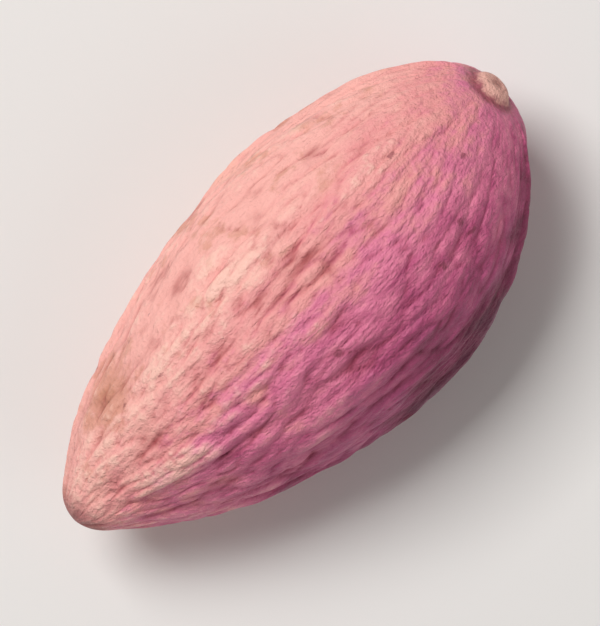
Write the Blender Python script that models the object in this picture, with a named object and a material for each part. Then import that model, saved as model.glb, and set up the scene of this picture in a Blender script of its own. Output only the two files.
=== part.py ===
"""A dried pistachio, still closed in its wrinkled hull, lying on one of its broad sides.

X runs along the nut, from the pointed apex at -X to the stalk scar at +X. Y runs across it, from keel to
keel, and Z is up. The origin is on the surface that the nut lies on, under the middle of its outline.
"""

import math

import bmesh
import bpy
from mathutils import Matrix, Vector, noise

# Driving dimensions of the nut, in metres.
LENGTH = 0.0218
FULL_SIDE = 0.00585
STRAIGHT_SIDE = 0.0045
CROWN_HEIGHT = 0.0052
UNDERSIDE_DEPTH = 0.0047
REST_PRESS = 0.00045

# How the outline narrows: a power of the distance from each end. Half is round, and one is a cone. The apex is
# blunter than that by a share, which fades over its tip.
FULL_TAPER = (0.78, 0.58)
STRAIGHT_TAPER = (0.64, 0.48)
DEPTH_TAPER = (0.70, 0.52)
APEX_BLUNTNESS = 0.7
APEX_TIP = 0.02
KEEL_SHARPNESS = 1.14

# The stalk end turns its face a little upwards, and the apex dips. Both start near the middle.
STALK_LEAN = 0.45
STALK_RISE = 0.0009
APEX_DIP = 0.0004
BEND_START = 0.55

# The scar that the stalk left: a low button with a dimple, in a shallow moat.
SCAR_RADIUS = 0.00090
SCAR_UNEVENNESS = 0.16
BUTTON_HEIGHT = 0.00014
DIMPLE_RADIUS = 0.00040
DIMPLE_DEPTH = 0.00008
MOAT_RADIUS = 0.00105
MOAT_WIDTH = 0.00032
MOAT_DEPTH = 0.00013
SKIN_START = 0.0022

# The hull's relief, as it shrank on to the shell: a keel on each edge, dents, folds, and wrinkles on those.
# Spacings are across the nut. Runs are along it, at the apex, and they grow towards the stalk by a share. The
# wander and the keel's widths are in radians.
KEEL_HEIGHT = 0.00024
KEEL_WIDTH = 0.075
KEEL_TIGHTNESS = 0.5
TIGHT_WIDTH = 0.24
DENT_SPACING = 0.0050
DENT_RUN = 0.0036
DENT_DEPTH = 0.00030
FOLD_SPACING = 0.0019
FOLD_RUN = 0.0065
FOLD_HEIGHT = 0.00024
FOLD_WANDER = 0.16
WRINKLE_SPACING = 0.0011
WRINKLE_RUN = 0.0018
WRINKLE_HEIGHT = 0.00020
RUN_GROWTH = 2.0
CREST_LEVEL = 0.45
CREST_ROUNDNESS = 0.7
GATHERING = 0.45
SHRINKAGE_AT_APEX = 1.15
SHRINKAGE_AT_STALK = 0.45
SHRINKAGE_PATCHES = 0.7

# Where each pattern is read from the noise, so that none repeats another.
WRINKLE_SEED = Vector((40, 0, 0))
WANDER_SEED = Vector((7, 3, 5))
PATCH_SEED = Vector((2, 9, 4))
SCAR_SEED = Vector((5, 0, 0))

# The mesh: sides around the nut, and rings along it, closer together towards the scar.
SIDES = 140
RINGS = 42
RING_CROWDING = 1.25

HULL_COLOUR = (0.55, 0.17, 0.22, 1.0)
HULL_ROUGHNESS = 0.6


def taper(along, powers):
    """The share of the full width at a place along the nut, from 0 at the apex to 1 at the scar."""
    apex_power, stalk_power = powers
    widest = apex_power / (apex_power + stalk_power)
    full = widest**apex_power * (1 - widest) ** stalk_power
    blunt = 1 + APEX_BLUNTNESS * math.exp(-along / APEX_TIP)
    return blunt * along**apex_power * (1 - along) ** stalk_power / full


def smooth_step(value, start, end):
    share = min(max((value - start) / (end - start), 0.0), 1.0)
    return share * share * (3 - 2 * share)


def bump(distance, width):
    """A rounded hill, 1 at its top."""
    return math.exp(-((distance / width) ** 2))


def body_point(along, angle):
    """A point of the plain nut, before its relief. The angle starts at the straighter keel, on +Y."""
    across, up = math.cos(angle), math.sin(angle)
    if across > 0:
        half_width = STRAIGHT_SIDE * taper(along, STRAIGHT_TAPER)
    else:
        half_width = FULL_SIDE * taper(along, FULL_TAPER)
    depth = (CROWN_HEIGHT if up > 0 else UNDERSIDE_DEPTH) * taper(along, DEPTH_TAPER)
    rise = depth * math.copysign(abs(up) ** KEEL_SHARPNESS, up)
    to_stalk = smooth_step(along, BEND_START, 1)
    to_apex = smooth_step(1 - along, BEND_START, 1)
    back = STALK_LEAN * to_stalk * rise
    centre = STALK_RISE * to_stalk - APEX_DIP * to_apex
    return Vector((LENGTH * (along - 0.5) - back, half_width * across, centre + rise))


def scar_relief(radius):
    """The scar's height at a distance from its middle."""
    button = BUTTON_HEIGHT * smooth_step(radius, SCAR_RADIUS, SCAR_RADIUS / 2)
    dimple = DIMPLE_DEPTH * bump(radius, DIMPLE_RADIUS)
    return button - dimple - MOAT_DEPTH * bump(radius - MOAT_RADIUS, MOAT_WIDTH)


def unrolled(along, angle, spacing, run):
    """A place on the nut in noise space, where each ring is drawn in a little towards the ends."""
    girth = (FULL_SIDE + STRAIGHT_SIDE) / 2 / spacing
    girth *= 1 - GATHERING + GATHERING * taper(along, DEPTH_TAPER)
    runs = LENGTH * math.log(1 + RUN_GROWTH * along) / RUN_GROWTH / run
    return Vector((runs, girth * math.cos(angle), girth * math.sin(angle)))


def creases(place):
    """Rounded crests with narrow creases between them, from -0.5 to 0.5."""
    return min(abs(noise.noise(place)) / CREST_LEVEL, 1.0) ** CREST_ROUNDNESS - 0.5


def hull_relief(along, angle):
    """The height of the shrunken skin: lengthwise folds and wrinkles on broad dents, slighter by a keel."""
    from_keel = math.remainder(angle, math.pi)
    place = unrolled(along, angle, DENT_SPACING, DENT_RUN)
    bent = angle + FOLD_WANDER * noise.noise(place + WANDER_SEED)
    folds = FOLD_HEIGHT * creases(unrolled(along, bent, FOLD_SPACING, FOLD_RUN))
    wrinkles = WRINKLE_HEIGHT * creases(unrolled(along, bent, WRINKLE_SPACING, WRINKLE_RUN) + WRINKLE_SEED)
    shrinkage = SHRINKAGE_AT_APEX + (SHRINKAGE_AT_STALK - SHRINKAGE_AT_APEX) * along
    shrinkage += SHRINKAGE_PATCHES * noise.noise(place + PATCH_SEED)
    shrinkage *= 1 - KEEL_TIGHTNESS * bump(from_keel, TIGHT_WIDTH)
    broad = DENT_DEPTH * noise.noise(place) + KEEL_HEIGHT * bump(from_keel, KEEL_WIDTH)
    return broad + shrinkage * (folds + wrinkles)


def hull_mesh():
    """The closed skin: a sphere with its poles at the ends, drawn out to the nut and given its relief."""
    hull = bmesh.new()
    poles_on_x = Matrix.Rotation(math.pi / 2, 4, "Y")
    bmesh.ops.create_uvsphere(hull, u_segments=SIDES, v_segments=RINGS, radius=1, matrix=poles_on_x)
    places = {}
    for vertex in hull.verts:
        from_scar = math.acos(max(-1.0, min(1.0, vertex.co.x))) / math.pi
        along = math.cos(math.pi / 2 * from_scar**RING_CROWDING) ** 2
        places[vertex] = along, math.atan2(vertex.co.z, vertex.co.y)
        vertex.co = body_point(*places[vertex])
    hull.normal_update()
    scar_centre = body_point(1.0, 0.0)
    heights = {}
    for vertex, (along, angle) in places.items():
        outwards = Vector((0, math.cos(angle), math.sin(angle)))
        unevenness = SCAR_UNEVENNESS * noise.noise(outwards + SCAR_SEED)
        radius = (vertex.co - scar_centre).length * (1 + unevenness)
        skin = smooth_step(radius, SCAR_RADIUS, SKIN_START) * min(taper(along, DEPTH_TAPER), 1.0)
        heights[vertex] = skin * hull_relief(along, angle) + scar_relief(radius)
    for vertex, height in heights.items():
        vertex.co += vertex.normal * height
    return hull


def rest_flat(hull):
    """Presses the lowest part flat, and puts the middle of the outline over the origin."""
    floor = min(vertex.co.z for vertex in hull.verts) + REST_PRESS
    for vertex in hull.verts:
        vertex.co.z = max(vertex.co.z, floor)
    xs = [vertex.co.x for vertex in hull.verts]
    ys = [vertex.co.y for vertex in hull.verts]
    middle = Vector(((min(xs) + max(xs)) / 2, (min(ys) + max(ys)) / 2, floor))
    bmesh.ops.translate(hull, vec=-middle, verts=hull.verts)


def hull_material():
    material = bpy.data.materials.new("dried_hull")
    material.use_nodes = True
    shader = material.node_tree.nodes["Principled BSDF"]
    shader.inputs["Base Color"].default_value = HULL_COLOUR
    shader.inputs["Roughness"].default_value = HULL_ROUGHNESS
    shader.inputs["Metallic"].default_value = 0.0
    return material


def build():
    for old in list(bpy.data.objects):
        bpy.data.objects.remove(old)
    hull = hull_mesh()
    rest_flat(hull)
    mesh = bpy.data.meshes.new("pistachio")
    hull.to_mesh(mesh)
    hull.free()
    mesh.shade_smooth()
    mesh.materials.append(hull_material())
    collection = bpy.data.collections.new("pistachio_in_hull")
    bpy.context.scene.collection.children.link(collection)
    collection.objects.link(bpy.data.objects.new("pistachio", mesh))


build()
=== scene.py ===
"""A dried pistachio in its wrinkled hull: its surface and colours, with a floor, soft light and a camera."""

import math

import bmesh
import bpy
from mathutils import Matrix, Vector, noise


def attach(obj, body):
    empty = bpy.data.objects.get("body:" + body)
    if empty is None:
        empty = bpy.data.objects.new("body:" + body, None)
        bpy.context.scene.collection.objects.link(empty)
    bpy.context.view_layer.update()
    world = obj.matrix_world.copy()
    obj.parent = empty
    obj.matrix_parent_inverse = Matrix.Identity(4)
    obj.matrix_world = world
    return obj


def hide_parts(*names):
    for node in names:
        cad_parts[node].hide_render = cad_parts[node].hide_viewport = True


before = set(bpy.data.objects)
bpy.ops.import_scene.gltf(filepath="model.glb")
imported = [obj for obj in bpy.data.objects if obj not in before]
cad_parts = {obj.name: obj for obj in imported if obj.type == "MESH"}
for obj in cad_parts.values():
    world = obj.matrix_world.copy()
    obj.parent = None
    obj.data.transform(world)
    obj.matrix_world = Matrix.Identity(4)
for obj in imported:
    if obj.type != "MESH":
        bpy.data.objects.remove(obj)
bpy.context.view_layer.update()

# The plain nut under its wrinkles. The shell inside sets this form: almond-shaped, fuller along one edge than
# along the other, and broadest past the middle, towards the stalk. The keels on both edges follow the seam
# where the shell's halves meet.

LENGTH = 0.0218
FULL_SIDE = 0.00585
STRAIGHT_SIDE = 0.0045
CROWN_HEIGHT = 0.0052
UNDERSIDE_DEPTH = 0.0047
REST_PRESS = 0.00045
FULL_TAPER = (0.78, 0.58)
STRAIGHT_TAPER = (0.64, 0.48)
DEPTH_TAPER = (0.70, 0.52)
APEX_BLUNTNESS = 0.7
APEX_TIP = 0.02
KEEL_SHARPNESS = 1.14
STALK_LEAN = 0.45
STALK_RISE = 0.0009
APEX_DIP = 0.0004
BEND_START = 0.55


def taper(along, powers):
    """The share of the full width at a place along the nut, from 0 at the apex to 1 at the scar."""
    apex_power, stalk_power = powers
    widest = apex_power / (apex_power + stalk_power)
    full = widest**apex_power * (1 - widest) ** stalk_power
    blunt = 1 + APEX_BLUNTNESS * math.exp(-along / APEX_TIP)
    return blunt * along**apex_power * (1 - along) ** stalk_power / full


def smooth_step(value, start, end):
    """From 0 at the start to 1 at the end, gently at both."""
    share = min(max((value - start) / (end - start), 0.0), 1.0)
    return share * share * (3 - 2 * share)


def bump(distance, width):
    """A rounded hill, 1 at its top."""
    return math.exp(-((distance / width) ** 2))


def body_point(along, angle):
    """A point of the plain nut. The angle starts at the straighter keel, on +Y."""
    across, up = math.cos(angle), math.sin(angle)
    if across > 0:
        half_width = STRAIGHT_SIDE * taper(along, STRAIGHT_TAPER)
    else:
        half_width = FULL_SIDE * taper(along, FULL_TAPER)
    depth = (CROWN_HEIGHT if up > 0 else UNDERSIDE_DEPTH) * taper(along, DEPTH_TAPER)
    rise = depth * math.copysign(abs(up) ** KEEL_SHARPNESS, up)
    to_stalk = smooth_step(along, BEND_START, 1)
    to_apex = smooth_step(1 - along, BEND_START, 1)
    back = STALK_LEAN * to_stalk * rise
    centre = STALK_RISE * to_stalk - APEX_DIP * to_apex
    return Vector((LENGTH * (along - 0.5) - back, half_width * across, centre + rise))


# The stalk scar: a low woody button with a dimple, where the nut broke off its stalk. The hull had shrunk
# round it into a shallow moat.

SCAR_RADIUS = 0.00090
SCAR_UNEVENNESS = 0.16
BUTTON_HEIGHT = 0.00014
DIMPLE_RADIUS = 0.00040
DIMPLE_DEPTH = 0.00008
MOAT_RADIUS = 0.00105
MOAT_WIDTH = 0.00032
MOAT_DEPTH = 0.00013
SKIN_START = 0.0022
SCAR_SEED = Vector((5, 0, 0))


def scar_relief(radius):
    """The scar's height at a distance from its middle."""
    button = BUTTON_HEIGHT * smooth_step(radius, SCAR_RADIUS, SCAR_RADIUS / 2)
    dimple = DIMPLE_DEPTH * bump(radius, DIMPLE_RADIUS)
    return button - dimple - MOAT_DEPTH * bump(radius - MOAT_RADIUS, MOAT_WIDTH)


# The hull's skin: fleshy when fresh, it dried thin and shrank on to the shell, in dents, in folds from end to
# end, and in finer and finer wrinkles on those. Over the keels it is tighter. Spacings are across the nut.
# Runs are along it at the apex, and grow towards the stalk. Keel widths and the wander are in radians.

KEEL_HEIGHT = 0.00024
KEEL_WIDTH = 0.075
KEEL_HIGHLIGHT_WIDTH = 0.065
KEEL_TIGHTNESS = 0.5
TIGHT_WIDTH = 0.24
DENT_SPACING = 0.0050
DENT_RUN = 0.0036
DENT_DEPTH = 0.00030
FOLD_SPACING = 0.0019
FOLD_RUN = 0.0065
FOLD_HEIGHT = 0.00024
FOLD_WANDER = 0.16
WRINKLE_SPACING = 0.0011
WRINKLE_RUN = 0.0018
WRINKLE_HEIGHT = 0.00020
LINE_SPACING = 0.00062
LINE_RUN = 0.0010
LINE_HEIGHT = 0.00012
PUCKER_SPACING = 0.00032
PUCKER_RUN = 0.00050
PUCKER_HEIGHT = 0.00006
RUN_GROWTH = 2.0
CREST_LEVEL = 0.45
CREST_ROUNDNESS = 0.7
GATHERING = 0.45
SHRINKAGE_AT_APEX = 1.15
SHRINKAGE_AT_STALK = 0.45
SHRINKAGE_PATCHES = 0.7
LEAST_SHRINKAGE = 0.75
WRINKLE_SEED = Vector((40, 0, 0))
LINE_SEED = Vector((80, 3, 0))
PUCKER_SEED = Vector((120, 0, 6))
WANDER_SEED = Vector((7, 3, 5))
PATCH_SEED = Vector((2, 9, 4))


def unrolled(along, angle, spacing, run):
    """A place on the nut in noise space, where each ring is drawn in a little towards the ends."""
    girth = (FULL_SIDE + STRAIGHT_SIDE) / 2 / spacing
    girth *= 1 - GATHERING + GATHERING * taper(along, DEPTH_TAPER)
    runs = LENGTH * math.log(1 + RUN_GROWTH * along) / RUN_GROWTH / run
    return Vector((runs, girth * math.cos(angle), girth * math.sin(angle)))


def creases(place):
    """Rounded crests with narrow creases between them, from -0.5 to 0.5."""
    return min(abs(noise.noise(place)) / CREST_LEVEL, 1.0) ** CREST_ROUNDNESS - 0.5


def hull_relief(along, angle):
    """The height of the shrunken skin, and how far its folds and its fine lines stand out, from -1 to 1."""
    from_keel = math.remainder(angle, math.pi)
    place = unrolled(along, angle, DENT_SPACING, DENT_RUN)
    bent = angle + FOLD_WANDER * noise.noise(place + WANDER_SEED)
    folds = FOLD_HEIGHT * creases(unrolled(along, bent, FOLD_SPACING, FOLD_RUN))
    wrinkles = WRINKLE_HEIGHT * creases(unrolled(along, bent, WRINKLE_SPACING, WRINKLE_RUN) + WRINKLE_SEED)
    lines = LINE_HEIGHT * creases(unrolled(along, bent, LINE_SPACING, LINE_RUN) + LINE_SEED)
    puckers = PUCKER_HEIGHT * creases(unrolled(along, bent, PUCKER_SPACING, PUCKER_RUN) + PUCKER_SEED)
    shrinkage = SHRINKAGE_AT_APEX + (SHRINKAGE_AT_STALK - SHRINKAGE_AT_APEX) * along
    shrinkage += SHRINKAGE_PATCHES * noise.noise(place + PATCH_SEED)
    shrinkage *= 1 - KEEL_TIGHTNESS * bump(from_keel, TIGHT_WIDTH)
    broad = DENT_DEPTH * noise.noise(place) + KEEL_HEIGHT * bump(from_keel, KEEL_WIDTH)
    coarse = shrinkage * (folds + wrinkles)
    fine = max(shrinkage, LEAST_SHRINKAGE) * (lines + puckers)
    crest = coarse / (FOLD_HEIGHT / 2 + WRINKLE_HEIGHT / 2)
    ridge = fine / (LINE_HEIGHT / 2 + PUCKER_HEIGHT / 2)
    return broad + coarse + fine, crest, ridge


SIDES = 440
RINGS = 200
RING_CROWDING = 1.25

hull = bmesh.new()
poles_on_x = Matrix.Rotation(math.pi / 2, 4, "Y")
bmesh.ops.create_uvsphere(hull, u_segments=SIDES, v_segments=RINGS, radius=1, matrix=poles_on_x)
along_layer = hull.verts.layers.float.new("along")
crest_layer = hull.verts.layers.float.new("crest")
ridge_layer = hull.verts.layers.float.new("ridge")
scar_layer = hull.verts.layers.float.new("from_scar")
keel_layer = hull.verts.layers.float.new("keel")
places = {}
for vertex in hull.verts:
    from_scar = math.acos(max(-1.0, min(1.0, vertex.co.x))) / math.pi
    along = math.cos(math.pi / 2 * from_scar**RING_CROWDING) ** 2
    places[vertex] = along, math.atan2(vertex.co.z, vertex.co.y)
    vertex.co = body_point(*places[vertex])
hull.normal_update()
scar_centre = body_point(1.0, 0.0)
heights = {}
for vertex, (along, angle) in places.items():
    outwards = Vector((0, math.cos(angle), math.sin(angle)))
    radius = (vertex.co - scar_centre).length
    radius *= 1 + SCAR_UNEVENNESS * noise.noise(outwards + SCAR_SEED)
    cover = smooth_step(radius, SCAR_RADIUS, SKIN_START) * min(taper(along, DEPTH_TAPER), 1.0)
    relief, crest, ridge = hull_relief(along, angle)
    heights[vertex] = cover * relief + scar_relief(radius)
    vertex[along_layer] = along
    vertex[crest_layer] = cover * crest
    vertex[ridge_layer] = cover * ridge
    vertex[scar_layer] = radius / SCAR_RADIUS
    # The keel band carries the painted highlight along the keels.
    vertex[keel_layer] = cover * bump(math.remainder(angle, math.pi), KEEL_HIGHLIGHT_WIDTH)
for vertex, height in heights.items():
    vertex.co += vertex.normal * height
floor_height = min(vertex.co.z for vertex in hull.verts) + REST_PRESS
for vertex in hull.verts:
    vertex.co.z = max(vertex.co.z, floor_height)
xs = [vertex.co.x for vertex in hull.verts]
ys = [vertex.co.y for vertex in hull.verts]
middle = Vector(((min(xs) + max(xs)) / 2, (min(ys) + max(ys)) / 2, floor_height))
bmesh.ops.translate(hull, vec=-middle, verts=hull.verts)

hull_mesh = bpy.data.meshes.new("dried_hull")
hull.to_mesh(hull_mesh)
hull.free()
hull_mesh.shade_smooth()
pistachio = bpy.data.objects.new("hulled_pistachio", hull_mesh)
bpy.context.scene.collection.objects.link(pistachio)
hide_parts("pistachio")
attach(pistachio, "root")

# The hull's finish: pistachio hull, a thin leathery fruit skin, dried in the sun. It is cream to salmon where
# leaves shaded it and mauve to plum where it ripened, in lengthwise streaks. Its creases are darkened with
# painted shade and its crests lightened with painted highlights. It has a tan bruise, freckles, a painted
# highlight along its keels and a thin wax, with a soft sheen.

CREAM = "#f9b4aa"
SALMON = "#f09c9b"
ROSE = "#e982a1"
MAUVE = "#c25680"
CRIMSON = "#932c4b"
PLUM = "#622846"
LILAC_WAX = "#a35584"
STRAW = "#efc09a"
TAN = "#c78563"
CREASE_SHADE = "#a4525c"
LINE_SHADE = "#ad5c62"
PALE_CREST_HIGHLIGHT = "#ffd3c0"
ROSY_CREST_HIGHLIGHT = "#d3759a"
KEEL_HIGHLIGHT = "#dcaabd"
FRECKLE = "#7a3040"
TIP_BROWN = "#8d4a4c"
SCAR_MOAT_SHADE = "#83383c"
SCAR_WOOD = "#f6bdae"
SCAR_CRUMB = "#cf8a80"
SCAR_HEART = "#a65e58"


def linear(code):
    """The linear colour of an sRGB hex code."""
    shares = [int(code[start : start + 2], 16) / 255 for start in (1, 3, 5)]
    return [share / 12.92 if share < 0.04045 else ((share + 0.055) / 1.055) ** 2.4 for share in shares] + [1]


def add(tree, kind, inputs=None, **settings):
    """Adds a node with its settings. Its inputs are values, or the nodes or sockets that they come from."""
    made = tree.nodes.new(kind)
    for name, value in settings.items():
        setattr(made, name, value)
    for socket, value in (inputs or {}).items():
        if isinstance(value, bpy.types.Node):
            value = value.outputs[0]
        if isinstance(value, bpy.types.NodeSocket):
            tree.links.new(value, made.inputs[socket])
        else:
            made.inputs[socket].default_value = value
    return made


hull_finish = bpy.data.materials.new("sun_dried_pistachio_hull")
hull_finish.use_nodes = True
tree = hull_finish.node_tree
shader = tree.nodes["Principled BSDF"]
place = add(tree, "ShaderNodeTexCoord").outputs["Object"]

# What the finish follows, by name. First, what the mesh knows, and how far a point is across the nut.
skin = {"across": add(tree, "ShaderNodeSeparateXYZ", {0: place}).outputs["Y"]}
for name in ("along", "crest", "ridge", "keel", "from_scar"):
    skin[name] = add(tree, "ShaderNodeAttribute", attribute_name=name).outputs["Fac"]

# Noise patterns around 0: the size of their marks in metres, their detail, how far they are drawn out along
# the nut, and where each is read from. The size of the skin's own fibres and grain isn't known. They are taken
# to be too fine to show, so they are drawn as coarse as they need to be.
MARK_ROUGHNESS = 0.6
PATTERNS = {
    "patches": (0.0055, 4, 1, (0, 0, 0)),
    "mottles": (0.0012, 5, 1, (0, 0, 0)),
    "speckles": (0.00030, 3, 1, (0.1, 0, 0)),
    "streaks": (0.00060, 3, 8, (0, 0, 0)),
    "fibres": (0.00018, 2, 5, (0, 0.2, 0)),
    "grain": (0.00014, 3, 1.5, (0, 0, 0)),
    "crumbs": (0.00022, 3, 1, (0.3, 0, 0)),
}
for name, (size, detail, drawn_out, start) in PATTERNS.items():
    stretch = {"Vector": place, "Location": start, "Scale": (1 / drawn_out, 1, 1)}
    stretched = add(tree, "ShaderNodeMapping", stretch)
    marks = {"Vector": stretched, "Scale": 1 / size, "Detail": detail, "Roughness": MARK_ROUGHNESS}
    above_0 = add(tree, "ShaderNodeTexNoise", marks)
    skin[name] = add(tree, "ShaderNodeMath", {0: above_0, 1: 0.5}, operation="SUBTRACT")

# Freckles: small uneven dots in some cells of a net that is drawn out along the nut. A freckle's reach, in
# cells, is drawn by chance, and where that is below 0 there is none.
FRECKLE_SPACING = 0.0010
FRECKLE_STRETCH = 1.6
SMALLEST_FRECKLE = -0.23
LARGEST_FRECKLE = 0.19
FRECKLE_UNEVENNESS = 0.5
net = add(tree, "ShaderNodeMapping", {"Vector": place, "Scale": (1 / FRECKLE_STRETCH, 1, 1)})
cells = add(tree, "ShaderNodeTexVoronoi", {"Vector": net, "Scale": 1 / FRECKLE_SPACING})
chance = add(tree, "ShaderNodeSeparateColor", {0: cells.outputs["Color"]})
drawn = {"Value": chance, "To Min": SMALLEST_FRECKLE, "To Max": LARGEST_FRECKLE}
reach = add(tree, "ShaderNodeMapRange", drawn)
uneven = {0: skin["speckles"], 1: FRECKLE_UNEVENNESS, 2: cells.outputs["Distance"]}
distance = add(tree, "ShaderNodeMath", uneven, operation="MULTIPLY_ADD")
skin["freckles"] = add(tree, "ShaderNodeMath", {0: reach, 1: distance}, operation="SUBTRACT")

# The tan bruise lies on the straighter side, near the apex.
BRUISE_PLACE = (-0.0068, 0.0028, 0.0060)
from_bruise = add(tree, "ShaderNodeVectorMath", {0: place, 1: BRUISE_PLACE}, operation="DISTANCE")
skin["from_bruise"] = from_bruise.outputs["Value"]

# Sums of those, with the weight of each. Ripeness runs across the nut, from 0 at one line on its straighter
# side to 1 at another on its fuller side, with an uneven border that leans, and it drops a little on the fine
# crests and rises in the fine creases, as painted highlight and shade. The crests' painted highlights are
# brightest, and the creases' painted shade deepest, near the apex, so those sums take in the place along the
# nut.
UNRIPE_LINE = -0.0021
RIPE_LINE = 0.0073
BORDER_LEAN = 0.0032
PER_METRE = 1 / (RIPE_LINE - UNRIPE_LINE)
SUMS = {
    "side": {"along": BORDER_LEAN, "across": -1.0},
    "ripe_side": {"side": PER_METRE, "patches": 0.7, "mottles": 0.45},
    # The ridge term is painted light: ripeness falls on fine crests and rises in fine creases.
    "ripeness": {"ripe_side": 1.0, "streaks": 0.55, "speckles": 0.18, "ridge": -0.08},
    # Where the crests get painted highlights and the creases painted shade.
    "crest_highlight": {"crest": 1.0, "ridge": 0.6, "speckles": 2.0, "along": -0.6},
    "sunken": {"crest": 0.8, "ridge": 0.45, "along": 0.3},
    # A painted highlight along the keels.
    "keel_highlight": {"keel": 1.0, "streaks": 1.6, "mottles": 1.0, "speckles": 0.6},
    "bruise": {"from_bruise": 1.0, "mottles": 0.004, "speckles": 0.001},
    "scar_edge": {"from_scar": 1.0, "mottles": 0.7, "speckles": 0.5},
    "scar_heart": {"from_scar": 1.0, "speckles": 0.8},
    "gloss": {"crest": 1.0, "ridge": 0.5, "mottles": 1.5},
    "pits": {"grain": 1.0, "speckles": 1.5, "fibres": 1.0},
}
SUMS_START = {"ripe_side": -UNRIPE_LINE * PER_METRE, "crest_highlight": 0.3, "sunken": -0.13}
for name, weights in SUMS.items():
    skin[name] = SUMS_START.get(name, 0.0)
    for part, weight in weights.items():
        terms = {0: skin[part], 1: weight, 2: skin[name]}
        skin[name] = add(tree, "ShaderNodeMath", terms, operation="MULTIPLY_ADD")

# The skin's colour by its ripeness: cream at 0, crimson at 1, and these between them.
RIPENING = ((0.30, SALMON), (0.52, ROSE), (0.76, MAUVE))
skin_colours = add(tree, "ShaderNodeValToRGB", {"Fac": skin["ripeness"]})
stops = skin_colours.color_ramp.elements
stops[0].color = linear(CREAM)
stops[1].color = linear(CRIMSON)
for ripeness, code in RIPENING:
    stops.new(ripeness).color = linear(code)
colour = skin_colours.outputs["Color"]

# The layers over that colour: each tint, how it is laid on, its greatest share, and what it follows, with the
# values where there is none of it and all of it. The apex is tipped with brown, where the flower's stigma
# dried. The scar is bare, crumbly wood, with a dark ring of painted shade in the moat round it. The wood
# starts and is whole at two distances from the scar's middle, in scar radii.
BARE_WOOD = (1.02, 0.66)
LAYERS = (
    (PLUM, "MIX", 1.0, {"ripeness": (0.7, 1.1), "patches": (-0.15, 0.2)}),
    (LILAC_WAX, "MIX", 0.45, {"ripe_side": (0.65, 0.95), "patches": (0.12, -0.15)}),
    (STRAW, "MIX", 0.5, {"patches": (0.0, 0.2), "ripeness": (0.25, -0.1)}),
    (TAN, "MIX", 0.45, {"mottles": (0.02, 0.14), "ripeness": (0.25, 0.0)}),
    (TAN, "MIX", 0.55, {"bruise": (0.0018, 0.0007)}),
    # Painted shade in the creases and along the fine lines, deepest near the apex.
    (CREASE_SHADE, "MULTIPLY", 0.8, {"sunken": (0.05, -0.95)}),
    (LINE_SHADE, "MULTIPLY", 0.5, {"ridge": (0.0, -0.9)}),
    # Painted highlights on the crests: pale on the unripe side, rosy on the ripe side.
    (PALE_CREST_HIGHLIGHT, "MIX", 0.55, {"crest_highlight": (0.3, 1.1), "ripeness": (0.75, 0.35)}),
    (ROSY_CREST_HIGHLIGHT, "MIX", 0.40, {"crest_highlight": (0.3, 1.1), "ripeness": (0.45, 0.8)}),
    # A painted highlight along the keel ridges, on the ripe side, broken by streaks and mottles.
    (KEEL_HIGHLIGHT, "MIX", 0.40, {"keel_highlight": (0.45, 1.2), "ripeness": (0.3, 0.6), "patches": (-0.15, 0.15)}),
    (FRECKLE, "MIX", 0.60, {"freckles": (0.0, 0.09)}),
    (TIP_BROWN, "MIX", 0.7, {"along": (0.045, 0.003)}),
    # Painted shade in the moat round the scar.
    (SCAR_MOAT_SHADE, "MIX", 0.75, {"scar_edge": (1.6, 1.05)}),
    (SCAR_WOOD, "MIX", 0.9, {"scar_edge": BARE_WOOD}),
    (SCAR_CRUMB, "MIX", 0.55, {"scar_edge": BARE_WOOD, "crumbs": (-0.02, 0.16)}),
    (SCAR_HEART, "MIX", 0.5, {"scar_heart": (0.45, 0.1)}),
)
for tint, blend, greatest_share, follows in LAYERS:
    share = greatest_share
    for name, (none, all_of_it) in follows.items():
        limits = {"Value": skin[name], "From Min": none, "From Max": all_of_it}
        reached = add(tree, "ShaderNodeMapRange", limits, interpolation_type="SMOOTHSTEP")
        share = add(tree, "ShaderNodeMath", {0: reached, 1: share}, operation="MULTIPLY")
    mixed = {0: share, 6: colour, 7: linear(tint)}
    colour = add(tree, "ShaderNodeMix", mixed, data_type="RGBA", blend_type=blend).outputs[2]
tree.links.new(colour, shader.inputs["Base Color"])

# The crests are a little glossier than the creases. The bare wood's dullness is added to the skin's. A fine
# pitting and fibres cover the skin, and crumbs cover the wood. Dry skin is a little less shiny than plastic.
CREASE_DULLNESS = 0.68
CREST_DULLNESS = 0.40
GLOSS_REACH = 0.8
WOOD_DULLNESS = 0.25
CRUMB_DEPTH = 2.0
SKIN_GRAIN_DEPTH = 0.000080
SKIN_SPECULAR = 0.35
gloss = {"Value": skin["gloss"], "From Min": -GLOSS_REACH, "From Max": GLOSS_REACH}
gloss |= {"To Min": CREASE_DULLNESS, "To Max": CREST_DULLNESS}
skin_dullness = add(tree, "ShaderNodeMapRange", gloss)
bare, all_bare = BARE_WOOD
edge = {"Value": skin["scar_edge"], "From Min": bare, "From Max": all_bare}
on_wood = add(tree, "ShaderNodeMapRange", edge)
dulled = {0: on_wood, 1: WOOD_DULLNESS, 2: skin_dullness}
dullness = add(tree, "ShaderNodeMath", dulled, operation="MULTIPLY_ADD")
tree.links.new(dullness.outputs[0], shader.inputs["Roughness"])
crumbled = add(tree, "ShaderNodeMath", {0: skin["crumbs"], 1: on_wood}, operation="MULTIPLY")
raised = {0: crumbled, 1: CRUMB_DEPTH, 2: skin["pits"]}
height = add(tree, "ShaderNodeMath", raised, operation="MULTIPLY_ADD")
skin_grain = add(tree, "ShaderNodeBump", {"Height": height, "Distance": SKIN_GRAIN_DEPTH, "Strength": 1.0})
tree.links.new(skin_grain.outputs[0], shader.inputs["Normal"])
shader.inputs["Specular IOR Level"].default_value = SKIN_SPECULAR
hull_mesh.materials.append(hull_finish)

# The floor: a plain sheet of pale, matte card, far wider than the nut. The grain of real card is too fine to
# show here.

FLOOR_SIZE = 0.6
CARD_GREY = "#e9e6e3"
CARD_DULLNESS = 0.9

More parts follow.
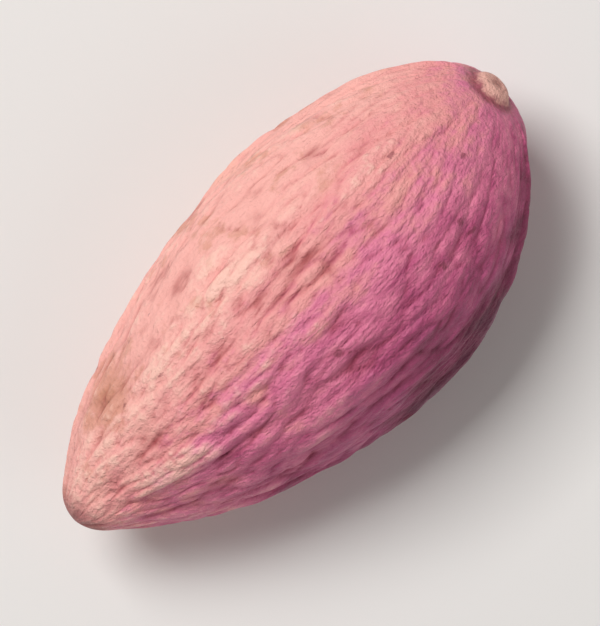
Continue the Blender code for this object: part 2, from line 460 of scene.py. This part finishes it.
floor_sheet = bmesh.new()
bmesh.ops.create_grid(floor_sheet, x_segments=1, y_segments=1, size=FLOOR_SIZE / 2)
floor_mesh = bpy.data.meshes.new("card_floor")
floor_sheet.to_mesh(floor_mesh)
floor_sheet.free()
floor = bpy.data.objects.new("card_floor", floor_mesh)
bpy.context.scene.collection.objects.link(floor)
card = bpy.data.materials.new("matte_card")
card.use_nodes = True
card_shader = card.node_tree.nodes["Principled BSDF"]
card_shader.inputs["Base Color"].default_value = linear(CARD_GREY)
card_shader.inputs["Roughness"].default_value = CARD_DULLNESS
floor_mesh.materials.append(card)

# The light: a large soft lamp at the upper left of the picture, a weaker one from the lower right, and a pale
# room all round. The lamps are turned with the picture.

VIEW_TURN = math.radians(-46)
ROOM_WHITE = "#f2f0ee"
ROOM_STRENGTH = 0.27
LAMPS = {
    "key_lamp": {"towards": (-0.60, 0.52, 1.25), "distance": 0.35, "size": 0.16, "watts": 1.0},
    "fill_lamp": {"towards": (0.9, -0.5, 0.8), "distance": 0.40, "size": 0.30, "watts": 0.20},
}
for name, lamp in LAMPS.items():
    light = bpy.data.lights.new(name, "AREA")
    light.size = lamp["size"]
    light.energy = lamp["watts"]
    light_object = bpy.data.objects.new(name, light)
    direction = Matrix.Rotation(VIEW_TURN, 3, "Z") @ Vector(lamp["towards"]).normalized()
    light_object.location = direction * lamp["distance"]
    light_object.rotation_euler = direction.to_track_quat("Z", "Y").to_euler()
    bpy.context.scene.collection.objects.link(light_object)
room = bpy.data.worlds.new("pale_room")
room.use_nodes = True
room_light = room.node_tree.nodes["Background"]
room_light.inputs["Color"].default_value = linear(ROOM_WHITE)
room_light.inputs["Strength"].default_value = ROOM_STRENGTH
bpy.context.scene.world = room
bpy.context.scene.view_settings.view_transform = "Standard"

# The camera: straight above the nut on a long lens, and turned so that the apex points down and to the left.
# The picture's height is measured at the level of the keels.

LENS = 300
SENSOR = 36
VIEW_HEIGHT = 0.0225
KEEL_LEVEL = 0.005
NEAREST = 0.005

camera_settings = bpy.data.cameras.new("overhead_camera")
camera_settings.lens = LENS
camera_settings.sensor_width = SENSOR
camera_settings.clip_start = NEAREST
camera = bpy.data.objects.new("overhead_camera", camera_settings)
camera.location = (0, 0, VIEW_HEIGHT * LENS / SENSOR + KEEL_LEVEL)
camera.rotation_euler = (0, 0, VIEW_TURN)
bpy.context.scene.collection.objects.link(camera)
bpy.context.scene.camera = camera
